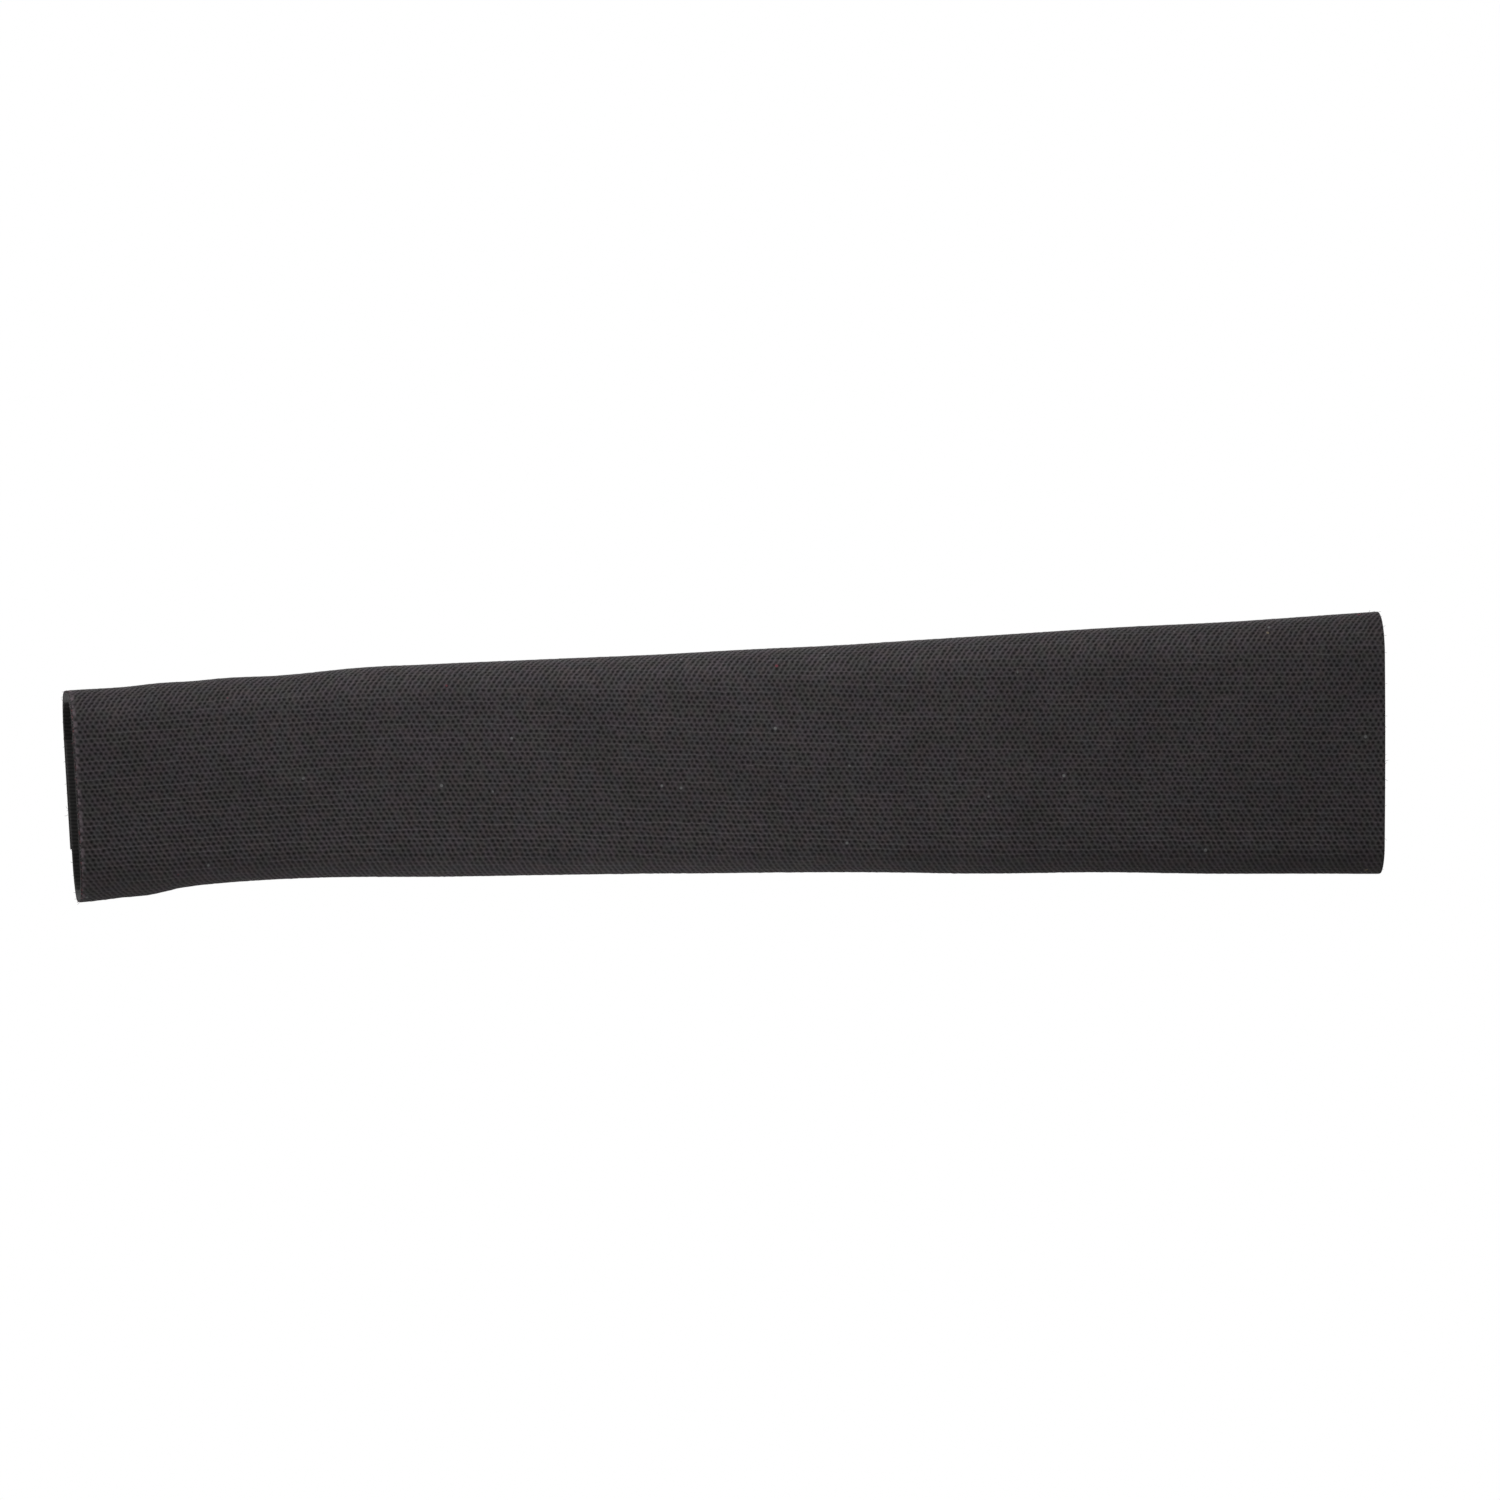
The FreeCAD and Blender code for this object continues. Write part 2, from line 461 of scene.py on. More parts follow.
def tube_pattern(points, around):
    """Faces of one closed tube by the numbers of its vertices, and their corners' places in its map cell."""
    faces, maps = [], []
    for point in range(points - 1):
        for side in range(around):
            corners = [(point, side), (point, side + 1), (point + 1, side + 1), (point + 1, side)]
            faces.append([step * around + turn % around for step, turn in corners])
            for step, turn in corners:
                maps.append((TUBE_SHARE * step / (points - 1), TUBE_HEIGHT * turn / around))
    for end, level in zip((0, points - 1), CAP_LEVELS):
        faces.append([end * around + side for side in range(around)])
        for side in range(around):
            angle = 2 * math.pi * side / around
            maps.append((CAP_PLACE + CAP_SIZE * math.cos(angle), level + CAP_SIZE * math.sin(angle)))
    return faces, maps


def linked(name, data):
    """A new object of the scene."""
    piece = bpy.data.objects.new(name, data)
    bpy.context.scene.collection.objects.link(piece)
    return piece


class MeshPlan:
    """Vertices and faces of one piece, with each corner's texture place and each face's material."""

    def __init__(self):
        self.vertices, self.faces, self.maps, self.kinds = [], [], [], []

    def vertex(self, place):
        """Adds a vertex and gives its number."""
        self.vertices.append(tuple(place))
        return len(self.vertices) - 1

    def face(self, corners, places, kind=0):
        """Adds a face by its vertices' numbers and their texture places."""
        self.faces.append(tuple(corners))
        self.maps.extend(places)
        self.kinds.append(kind)

    def quad(self, corners, sides, levels):
        """Adds a face with four corners that fills a box of the texture map."""
        (left, right), (low, high) = sides, levels
        self.face(corners, [(left, low), (right, low), (right, high), (left, high)])

    def make(self, name, materials):
        """The piece itself, smooth, with its faces turned outwards."""
        mesh = bpy.data.meshes.new(name)
        mesh.from_pydata(self.vertices, [], self.faces)
        for material in materials:
            mesh.materials.append(material)
        mesh.polygons.foreach_set("material_index", self.kinds)
        mesh.polygons.foreach_set("use_smooth", [True] * len(self.faces))
        layer = mesh.uv_layers.new(name=BAKE_MAP)
        layer.data.foreach_set("uv", np.array(self.maps, np.float32).ravel())
        shape = bmesh.new()
        shape.from_mesh(mesh)
        bmesh.ops.recalc_face_normals(shape, faces=shape.faces)
        shape.to_mesh(mesh)
        shape.free()
        mesh.validate()
        return linked(name, mesh)


def strands(name, paths, sides, width, around, material):
    """Round fibres with closed ends, each along a path in a plane square to its side direction."""
    count, points = paths.shape[:2]
    ahead = unit(np.gradient(paths, axis=1))
    up = np.cross(sides[:, None], ahead)
    turn = 2 * math.pi * np.arange(around) / around
    ring = np.cos(turn)[:, None] * sides[:, None, None] + np.sin(turn)[:, None] * up[:, :, None]
    plan = MeshPlan()
    for place in (paths[:, :, None] + width / 2 * ring).reshape(-1, 3):
        plan.vertex(place)
    faces, maps = tube_pattern(points, around)
    wide = math.ceil(math.sqrt(count))
    for number in range(count):
        first = number * points * around
        row, column = divmod(number, wide)
        plan.faces.extend(tuple(first + corner for corner in face) for face in faces)
        plan.maps.extend(((column + across) / wide, (row + rise) / wide) for across, rise in maps)
        plan.kinds.extend([0] * len(faces))
    return plan.make(name, [material])


def bell(away, width):
    """One in the middle of a bump, and less away from it."""
    return np.exp(-((away / width) ** 2))


def row_sway(distance):
    """How far the knit's rows stand above the centre line at a distance."""
    return SWAY * bell(distance - SWAY_PLACE, SWAY_LENGTH)


def swell(distance, arc):
    """How far the uneven sheet stands out at a distance and an arc length round it."""
    waves = [np.sin(along * distance + around * arc + start) for along, around, start in SWELL_WAVES]
    return SWELL * sum(waves) / len(waves)


def dents(distance, rise):
    """How far the sheet is dented at a distance, where its outward normal has that rise."""
    top, bottom = (
        sum(depth * bell(distance - place, length) for place, length, depth in group)
        for group in (TOP_DENTS, BOTTOM_DENTS)
    )
    return top * np.maximum(rise, 0) + bottom * np.maximum(-rise, 0)


def stitch_lines(distance):
    """Heights of the two rows of stitches along a tape."""
    low, high = tape_edges(distance)
    return low + STITCH_INSET, high - STITCH_INSET


def stitch_groove(distance, places):
    """How deep the stitches pull the upper flap's outer face in."""
    on_flap = places[:, 0] > UPPER_FLAP
    sewn = np.clip((min(distance, LENGTH - distance) - TAPE_INSET) / STITCH, 0, 1)
    near = [bell(places[:, 1] - line, STITCH_GROOVE_WIDTH) for line in stitch_lines(distance)]
    return STITCH_GROOVE * sewn * on_flap * sum(near)


class SheetFace:
    """One face of the rolled sheet as columns of vertices, with what the cut edge round it needs."""

    def __init__(self, plan, offset, columns, row_pitch, relief, place_of, kind):
        self.columns, self.rows = [], []
        self.normals, self.edges, self.places = {}, {}, {}
        self.place_of = place_of
        for column in range(columns + 1):
            distance = EDGE_ROUND + (LENGTH - 2 * EDGE_ROUND) * column / columns
            self.add_column(plan, Section(distance), offset, column, row_pitch, relief)
        for column in range(columns):
            self.add_faces(plan, column, kind)
        for end, distance, ahead in ((0, 0.0, -1), (-1, LENGTH, 1)):
            tangent = np.array([ahead, 0, ahead * centre_line(distance)[1]])
            for index in self.columns[end]:
                self.edges[index] = self.edges[index] + unit(tangent)

    def add_column(self, plan, section, offset, column, row_pitch, relief):
        """Vertices from the lower flap's edge to the upper's, with rows at whole numbers between."""
        distance = section.distance
        zero = section.level(offset) + row_sway(distance)
        low, high = EDGE_ROUND - zero, section.stops(offset)[-1] - EDGE_ROUND - zero
        first = math.ceil(low / row_pitch + ROW_CLEARANCE)
        last = math.floor(high / row_pitch - ROW_CLEARANCE)
        rows = np.concatenate([[low / row_pitch], np.arange(first, last + 1), [high / row_pitch]])
        places, normals = section.trace(zero + rows * row_pitch, offset)
        lifted = places + normals * relief(column, rows, distance, places, normals)[:, None]
        points = in_space(distance, lifted[:, 0], lifted[:, 1])
        indices = [plan.vertex(point) for point in points]
        spatial = direction_in_space(distance, normals[:, 0], normals[:, 1])
        self.normals.update(zip(indices, spatial))
        heading = direction_in_space(distance, normals[:, 1], -normals[:, 0])
        self.edges.update({index: np.zeros(3) for index in indices})
        self.edges[indices[0]] = -heading[0]
        self.edges[indices[-1]] = heading[-1]
        self.places.update({index: self.place_of(column, row) for index, row in zip(indices, rows)})
        self.columns.append(indices)
        self.rows.append((first, last))

    def add_faces(self, plan, column, kind):
        """Two triangles for each cell between this column and the next, and one face at either cut edge."""
        left, right = self.columns[column], self.columns[column + 1]
        (left_first, left_last), (right_first, right_last) = self.rows[column], self.rows[column + 1]
        first, last = max(left_first, right_first), min(left_last, right_last)
        for row in range(first, last):
            low_left, high_left = left[row - left_first + 1 : row - left_first + 3]
            low_right, high_right = right[row - right_first + 1 : row - right_first + 3]
            if (column + row) % 2 == 0:
                halves = ((low_left, low_right, high_left), (low_right, high_right, high_left))
            else:
                halves = ((low_left, low_right, high_right), (low_left, high_right, high_left))
            for half in halves:
                plan.face(half, [self.places[index] for index in half], kind)
        low = left[: first - left_first + 2][::-1] + right[: first - right_first + 2]
        high = left[last - left_first + 1 :] + right[last - right_first + 1 :][::-1]
        for corners in (low, high):
            plan.face(corners, [self.places[index] for index in corners], kind)

    def boundary(self):
        """The face's vertices round its cut edge, with a measure that grows by one along each side."""
        high = [column[-1] for column in self.columns]
        low = [column[0] for column in self.columns]
        sides = [self.columns[0], high, self.columns[-1][::-1], low[::-1]]
        loop, measures = [], []
        for number, side in enumerate(sides):
            loop += side[:-1]
            measures += [number + step / (len(side) - 1) for step in range(len(side) - 1)]
        return loop, measures


def closed(loop, measures, band):
    """A loop's vertices with their measures and their band of the cut edge, back to the first."""
    return [(index, measure, band) for index, measure in zip(loop + loop[:1], measures + [SHEET_SIDES])]


def bridge(plan, first, second, kind):
    """Triangles between two closed loops that run the same way, matched by their measures."""
    here, there = 0, 0
    first_end, second_end = len(first) - 1, len(second) - 1
    while here < first_end or there < second_end:
        if there == second_end or (here < first_end and first[here + 1][1] <= second[there + 1][1]):
            corners = (first[here], first[here + 1], second[there])
            here += 1
        else:
            corners = (first[here], second[there + 1], second[there])
            there += 1
        places = [(measure / SHEET_SIDES, EDGE_BASE + EDGE_SHARE * band) for _, measure, band in corners]
        plan.face([index for index, _, _ in corners], places, kind)


def knit_place(column, row):
    """Texture place of a vertex of the outer face."""
    return column / KNIT_COLUMNS, OUTER_SHARE * (row - FIRST_ROW) / (LAST_ROW - FIRST_ROW)


def lining_place(column, row):
    """Texture place of a vertex of the inner face."""
    share = (row * LINING_PITCH / ROW_PITCH - FIRST_ROW) / (LAST_ROW - FIRST_ROW)
    return column / LINING_COLUMNS, LINING_BASE + LINING_SHARE * share


def neoprene_wrap(materials):
    """The rolled sheet, and the places, outward directions and normals along its outer cut edge."""
    plan = MeshPlan()
    draw = np.random.default_rng(KNIT_SEED)

    def knit_relief(column, rows, distance, places, normals):
        """How far the knit stands out, with pits at every other place but none at the cut edge."""
        pit = (column + np.round(rows)) % 2 == 0
        relief = draw.normal(0, PIT_JITTER, len(rows)) - PIT_DEPTH * pit
        relief[[0, -1]] = 0
        if column in (0, KNIT_COLUMNS):
            relief[:] = 0
        slack = swell(distance, rows * ROW_PITCH) - dents(distance, normals[:, 1])
        return relief + slack - stitch_groove(distance, places)

    def lining_relief(column, rows, distance, places, normals):
        """How far the lining gives way with the dents."""
        return -dents(distance, normals[:, 1])

    outer = SheetFace(plan, WALL / 2, KNIT_COLUMNS, ROW_PITCH, knit_relief, knit_place, KNIT)
    inner = SheetFace(plan, -WALL / 2, LINING_COLUMNS, LINING_PITCH, lining_relief, lining_place, LINING)
    loop, measures = outer.boundary()
    ring = closed(loop, measures, 0.0)
    for outset, depth, kind in EDGE_PROFILE:
        moved = [
            np.array(plan.vertices[index]) + outer.edges[index] * outset - outer.normals[index] * depth
            for index in loop
        ]
        following = closed([plan.vertex(place) for place in moved], measures, depth / WALL)
        bridge(plan, ring, following, kind)
        ring = following
    bridge(plan, ring, closed(*inner.boundary(), 1.0), LINING)
    cut_edge = [(plan.vertices[index], outer.edges[index], outer.normals[index]) for index in loop]
    return plan.make("neoprene_sleeve", materials), np.array(cut_edge)


def edge_fibres(cut_edge, material):
    """Short loose fibres along the cut edge of the outer knit."""
    draw = np.random.default_rng(FRAY_SEED)
    chosen = draw.choice(len(cut_edge), FRAYS, replace=False)
    feet, outward, normals = np.moveaxis(cut_edge[chosen], 1, 0)
    sideways = np.cross(normals, unit(outward))
    amounts = draw.uniform(FRAY_LEAST, FRAY_MOST, (FRAYS, 3))
    heading = unit(outward * amounts[:, :1] + normals * amounts[:, 1:2] + sideways * amounts[:, 2:])
    bend = unit(np.cross(heading, draw.normal(size=(FRAYS, 3))))
    share = np.linspace(0, 1, FRAY_POINTS)[None, :, None]
    length = draw.uniform(*FRAY_LENGTH, (FRAYS, 1, 1))
    feet = feet + outward * EDGE_ROUND / 2 - normals * draw.uniform(0, EDGE_ROUND, (FRAYS, 1))
    paths = feet[:, None] + length * (share * heading[:, None] + share**2 * bend[:, None] / 2)
    return strands("cut_edge_fibres", paths, np.cross(heading, bend), FRAY_WIDTH, FIBRE_SIDES, material)


def tape_backing(name, seat, facing, material):
    """A ribbed woven strip on the flap at seat, with soft edges; facing is 1 or -1 across the section."""
    columns = round(TAPE_LENGTH / BACKING_RIB)
    plan = MeshPlan()
    shares = np.linspace(0, 1, BACKING_ROWS + 1)
    from_edge = TAPE_WIDTH * np.minimum(shares, 1 - shares)
    soft = np.clip(from_edge / BACKING, BACKING_EDGE, 1.0)
    rings = []
    for column in range(columns + 1):
        distance = TAPE_INSET + TAPE_LENGTH * column / columns
        low, high = tape_edges(distance)
        rise = low + (high - low) * shares
        rib = BACKING_RELIEF * (-1) ** column
        top = in_space(distance, seat + facing * (BACKING * soft + rib), rise)
        under = in_space(distance, seat, rise)
        rings.append([[plan.vertex(place) for place in side] for side in (top, under)])
    for column in range(columns):
        ends = (BACKING_MAP * column / columns, BACKING_MAP * (column + 1) / columns)
        (top, under), (next_top, next_under) = rings[column], rings[column + 1]
        for row in range(BACKING_ROWS):
            for side, following, base in ((top, next_top, TOP_BASE), (under, next_under, UNDER_BASE)):
                corners = (side[row], following[row], following[row + 1], side[row + 1])
                plan.quad(corners, ends, backing_levels(base, row))
        for row, base in ((0, LOW_EDGE_BASE), (BACKING_ROWS, HIGH_EDGE_BASE)):
            corners = (top[row], next_top[row], next_under[row], under[row])
            plan.quad(corners, ends, (base, base + EDGE_STRIP))
    for column, base in ((0, TOP_BASE), (columns, UNDER_BASE)):
        top, under = rings[column]
        for row in range(BACKING_ROWS):
            corners = (top[row], under[row], under[row + 1], top[row + 1])
            plan.quad(corners, (END_PLACE, 1.0), backing_levels(base, row))
    return plan.make(name, [material])


def backing_levels(base, row):
    """Heights in a backing's map between which a row lies."""
    return base + STRIP_SHARE * row / BACKING_ROWS, base + STRIP_SHARE * (row + 1) / BACKING_ROWS


def tape_field(pitch, rows):
    """Staggered places on a tape between its selvages: distances, heights and row numbers."""
    columns = int(TAPE_LENGTH / pitch) - 1
    column, row = (grid.ravel() for grid in np.meshgrid(np.arange(columns), np.arange(rows), indexing="ij"))
    distance = TAPE_INSET + pitch * (column + FIELD_START + STAGGER * (row % 2))
    low, high = tape_edges(distance)
    return distance, low + SELVAGE + (high - low - 2 * SELVAGE) * (row + 0.5) / rows, row


def loop_pile(material):
    """A field of fine nylon loops between the selvages, each turned and leaning its own way."""
    draw = np.random.default_rng(LOOP_SEED)
    distance, rise, _ = tape_field(LOOP_PITCH, LOOP_ROWS)
    count = len(distance)
    turn = draw.uniform(0, 2 * math.pi, count)[:, None]
    lean = draw.uniform(-LOOP_LEAN, LOOP_LEAN, count)[:, None]
    height = draw.uniform(*LOOP_HEIGHT, count)[:, None]
    swing = math.pi * np.linspace(0, 1, LOOP_POINTS)
    lift = height * np.sin(swing) ** LOOP_FULLNESS
    reach = -LOOP_WIDTH / 2 * np.cos(swing) * (1 + LOOP_BULGE * np.sin(swing))
    paths = in_space(
        distance[:, None] + np.cos(turn) * reach - np.sin(turn) * lean * lift,
        LOOP_SEAT + BACKING - ROOT + lift,
        rise[:, None] + np.sin(turn) * reach + np.cos(turn) * lean * lift,
    )
    sides = unit(np.concatenate([-np.sin(turn), -lean, np.cos(turn)], 1))
    return strands("loop_pile", paths, sides, LOOP_FIBRE, FIBRE_SIDES, material)


def hook_field(material):
    """Rows of nylon hooks between the selvages, that turn over by rows to either end."""
    draw = np.random.default_rng(HOOK_SEED)
    distance, rise, row = tape_field(HOOK_PITCH, HOOK_ROWS)
    turn = (math.pi * (row % 2) + draw.normal(0, HOOK_YAW, len(row)))[:, None]
    angles = np.radians(HOOK_ANGLES)
    drop = np.concatenate([[-ROOT, HOOK_STEM / 2], HOOK_STEM + HOOK_BEND * np.sin(angles)])
    reach = np.concatenate([[0, 0], HOOK_BEND * (1 - np.cos(angles))])
    paths = in_space(
        distance[:, None] + np.cos(turn) * reach,
        HOOK_SEAT - BACKING - drop,
        rise[:, None] + np.sin(turn) * reach,
    )
    sides = np.concatenate([np.sin(turn), 0 * turn, -np.cos(turn)], 1)
    return strands("nylon_hooks", paths, sides, HOOK_FIBRE, FIBRE_SIDES, material)


def stitches(name, faces, material):
    """Rows of stitches along a tape; each face sewn has a place across, a facing and a sink."""
    starts = np.arange(TAPE_INSET + STITCH_GAP, LENGTH - TAPE_INSET - STITCH, STITCH)
    share = np.linspace(0, 1, STITCH_POINTS)
    distance = starts[:, None] + (STITCH - STITCH_GAP) * share
    dive = STITCH_DIVE * abs(2 * share - 1) ** STITCH_LEVELNESS
    rows = []
    for face, facing, sink in faces:
        for rise in stitch_lines(distance):
            rows.append(in_space(distance, face + facing * (THREAD / 2 - sink - dive), rise))
    paths = np.concatenate(rows)
    sides = np.tile((0.0, 0.0, 1.0), (len(paths), 1))
    return strands(name, paths, sides, THREAD, THREAD_SIDES, material)


class Look:
    """The nodes of a material or of the background, with short ways to add and link them."""

    def __init__(self, name, group="materials", shader="Principled BSDF"):
        self.owner = getattr(bpy.data, group).new(name)
        self.owner.use_nodes = True
        self.tree = self.owner.node_tree
        self.shader = self.tree.nodes[shader]

    def feed(self, socket, value):
        """Links a socket to another, or sets its value."""
        if isinstance(value, bpy.types.NodeSocket):
            self.tree.links.new(value, socket)
        else:
            socket.default_value = value

    def add(self, kind, inputs=None, **settings):
        """A new node with its settings and inputs."""
        node = self.tree.nodes.new("ShaderNode" + kind)
        for name, value in settings.items():
            setattr(node, name, value)
        for key, value in (inputs or {}).items():
            self.feed(node.inputs[key], value)
        return node

    def math(self, operation, *values):
        """Result of one sum."""
        return self.add("Math", dict(enumerate(values)), operation=operation).outputs[0]

    def times(self, first, second):
        """Product of two values."""
        return self.math("MULTIPLY", first, second)

    def total(self, values):
        """Sum of several values."""
        result, *others = values
        for other in others:
            result = self.math("ADD", result, other)
        return result

    def less(self, share, loss, whole=1.0):
        """What is left of a whole that loses so much at a share of one."""
        return self.math("MULTIPLY_ADD", share, -loss, whole)

    def wave(self, turns):
        """Cosine of a number of whole turns."""
        return self.math("COSINE", self.times(turns, 2 * math.pi))

    def ripple(self, place, pitch):
        """Wave along a place, in metres, with that pitch."""
        return self.wave(self.times(place, 1 / pitch))

    def noise(self, place, scale, detail=2.0):
        """Noise from 0 to 1 at a place."""
        return self.add("TexNoise", {"Vector": place, "Scale": scale, "Detail": detail}).outputs[0]

    def noises(self, place, scale, detail):
        """Three noises from 0 to 1 at a place, each on its own."""
        node = self.add("TexNoise", {"Vector": place, "Scale": scale, "Detail": detail})
        return self.channels(node.outputs["Color"])

    def channels(self, colour):
        """Red, green and blue of a colour."""
        return self.add("SeparateColor", {0: colour}).outputs

    def parts(self, vector):
        """The three parts of a vector."""
        return self.add("SeparateXYZ", {0: vector}).outputs

    def joined(self, first, second):
        """A vector of two parts."""
        return self.add("CombineXYZ", {0: first, 1: second}).outputs[0]

    def ramp(self, value, limits, ends=(0.0, 1.0), kind="SMOOTHSTEP"):
        """Climb from one end to the other while a value passes between its limits."""
        inputs = dict(enumerate((value, *limits, *ends)))
        return self.add("MapRange", inputs, interpolation_type=kind).outputs[0]

    def mix(self, share, first, second, blend="MIX"):
        """A colour between two others, or their product."""
        node = self.add("Mix", {0: share, 6: first, 7: second}, data_type="RGBA", blend_type=blend)
        return node.outputs[2]

    def pick(self, chance, turns, colours):
        """One of the colours: the first, or the next from each turn that a chance passes."""
        colour, *others = colours
        for turn, other in zip(turns, others):
            colour = self.mix(self.math("GREATER_THAN", chance, turn), colour, other)
        return colour

    def bump(self, height, distance):
        """Relief that the light sees."""
        return self.add("Bump", {"Height": height, "Distance": distance, "Strength": 1.0}).outputs[0]

    def place(self):
        """Place on the object, in metres."""
        return self.add("TexCoord").outputs["Object"]

    def chance(self):
        """A number from 0 to 1 for each fibre."""
        return self.add("NewGeometry").outputs["Random Per Island"]

    def seen(self):
        """One where the camera, a mirror or glass looks at a surface, zero where it only gives light."""
        path = self.add("LightPath").outputs
        mirrored = self.math("MAXIMUM", path["Is Camera Ray"], path["Is Glossy Ray"])
        return self.math("MAXIMUM", mirrored, path["Is Transmission Ray"])

    def settle(self, **inputs):
        """Sets or links the shader's own inputs, and gives what it belongs to."""
        for name, value in inputs.items():
            self.feed(self.shader.inputs[name.replace("_", " ")], value)
        return self.owner


def knit_cells(look):
    """Place on the knit in stitches along and rows up: even, as one vector, and strayed as the pits are."""
    apart = look.parts(look.add("UVMap", uv_map=BAKE_MAP).outputs[0])
    counts = (float(PITS_ALONG), (LAST_ROW - FIRST_ROW) / OUTER_SHARE)
    even = [look.times(part, count) for part, count in zip(apart, counts)]
    cell = look.joined(*even)
    strays = look.noises(cell, STRAY_SCALE, detail=1.0)
    strayed = [
        look.math("ADD", place, look.math("MULTIPLY_ADD", stray, PIT_STRAY, -PIT_STRAY / 2))
        for place, stray in zip(even, strays)
    ]
    return even, cell, strayed


def pit_depth(look, even_rows, along, rows, on_top, below):
    """Depth of the pits, from 0 to 1, between rising, falling and level ridges weighted by painted raking
    light, and the level wave alone.
    """
    shift = look.times(rows, STAGGER)
    waves = [look.wave(look.math(operation, along, shift)) for operation in ("SUBTRACT", "ADD")]
    waves.append(look.wave(rows))
    from_middle = look.math("ADD", even_rows, float(FIRST_ROW))
    upward = look.ramp(from_middle, RISING_ROWS, RISING_SHARES, kind="LINEAR")
    shares = [
        look.times(upward, look.less(below, RISING_LOSS)),
        look.less(on_top, FALLING_LOSS),
        look.less(look.math("MAXIMUM", on_top, below), LEVEL_LOSS, LEVEL_SHARE),
    ]
    net = look.total([look.times(wave, share) for wave, share in zip(waves, shares)])
    depth = look.ramp(look.math("DIVIDE", net, look.total(shares)), PIT_SPAN, kind="LINEAR")
    return depth, waves[-1]


def yarn_colour(look, fibre):
    """Charcoal yarn, a little cloudy, that is dyed unevenly towards purple and blue."""
    cloud = look.ramp(look.noise(look.place(), CLOUD_SCALE, detail=3.0), CLOUD_SPAN)
    shade = look.math("MULTIPLY_ADD", cloud, CLOUD_SHARE, look.times(fibre, 1 - CLOUD_SHARE))
    dyes = look.noises(look.place(), DYE_SCALE, detail=3.0)
    purple, blue = (
        look.mix(look.ramp(dye, DYE_SPAN), *tints) for dye, tints in zip(dyes, (PURPLE_TINTS, BLUE_TINTS))
    )
    tint = look.mix(1.0, purple, blue, blend="MULTIPLY")
    return look.mix(1.0, look.mix(shade, *YARN), tint, blend="MULTIPLY")


def lint(look):
    """One on the few specks of lint and zero elsewhere, and the colour that each speck has by chance."""
    cells = look.add("TexVoronoi", {"Vector": look.place(), "Scale": 1 / LINT_SPACING}).outputs
    chances = look.channels(cells["Color"])
    speck = look.ramp(cells["Distance"], (LINT_SIZE, 2 * LINT_SIZE), (1.0, 0.0))
    share = look.times(speck, look.math("GREATER_THAN", chances[0], LINT_RARITY))
    return share, look.pick(chances[1], LINT_TURNS, LINT)


def knit_material():
    """Charcoal knit with painted shade in its pits, painted highlights on some ridges and painted raking
    light on the rounds, and a little lint.
    """
    look = Look("charcoal_knit")
    (even_along, even_rows), cell, (along, rows) = knit_cells(look)
    lift = look.parts(look.add("TexCoord").outputs["Normal"])[2]
    # Painted raking light: the rising ridges stand out on the top round and the falling ones at the bottom,
    # by the normal's rise
    on_top, below = (look.ramp(lift, turn) for turn in (TOP_RAKING_RISE, BOTTOM_RAKING_RISE))
    depth, level = pit_depth(look, even_rows, along, rows, on_top, below)
    uneven = look.noise(cell, UNEVEN_SCALE, detail=1.0)
    clear = look.times(look.ramp(uneven, *PIT_CLEARNESS), look.less(below, BOTTOM_LOSS))
    # Painted shade: the pits are darkened for the shade that falls in their hollows
    painted_pit_shade = look.times(look.math("POWER", depth, PIT_FALLOFF), clear)
    fibre = look.noise(look.place(), FIBRE_SCALE)
    # Painted highlight along the crests of the level ridges, in patches
    stretched = look.joined(look.times(along, HIGHLIGHT_STRETCH), rows)
    pale = look.ramp(look.noise(stretched, scale=1.0, detail=1.0), *HIGHLIGHT_CHANCE)
    crest_highlight = look.times(look.ramp(level, *HIGHLIGHT_SPAN), pale)
    ridges = look.mix(crest_highlight, yarn_colour(look, fibre), HIGHLIGHT_COLOUR)
    knitted = look.mix(painted_pit_shade, ridges, PIT_SHADE_COLOUR)
    frayed = look.times(look.ramp(even_along, *FRAYED_STITCHES), look.ramp(uneven, FRAYED_SPAN))
    colour = look.mix(frayed, knitted, FRAYED_COLOUR)
    lint_share, lint_colour = lint(look)
    height = look.math("MULTIPLY_ADD", fibre, FIBRE_RELIEF, look.math("SUBTRACT", 1.0, depth))
    return look.settle(
        Base_Color=look.mix(lint_share, colour, lint_colour),
        Roughness=0.85,
        Specular_IOR_Level=0.05,
        Normal=look.bump(height, PIT_DEPTH),
    )


def foam_material():
    """Black closed-cell foam, cut across its cells."""
    look = Look("cut_foam")
    cells = look.add("TexVoronoi", {"Vector": look.place(), "Scale": FOAM_CELLS}).outputs["Distance"]
    grain = look.noise(look.place(), FOAM_GRAIN)
    return look.settle(
        Base_Color=look.mix(grain, *FOAM_SHADES),
        Roughness=0.75,
        Specular_IOR_Level=0.25,
        Normal=look.bump(cells, FINE_RELIEF),
    )


def lining_material():
    """Smooth black jersey, with fine ribs along the sleeve."""
    look = Look("black_lining")
    waves = {"Vector": look.place(), "Scale": LINING_RIBS, "Distortion": 1.0}
    ribs = look.add("TexWave", waves, bands_direction="Z").outputs["Fac"]
    shade = look.times(ribs, look.noise(look.place(), LINING_GRAIN))
    return look.settle(
        Base_Color=look.mix(shade, *LINING_SHADES),
        Roughness=0.9,
        Specular_IOR_Level=0.15,
        Normal=look.bump(shade, FINE_RELIEF),
    )


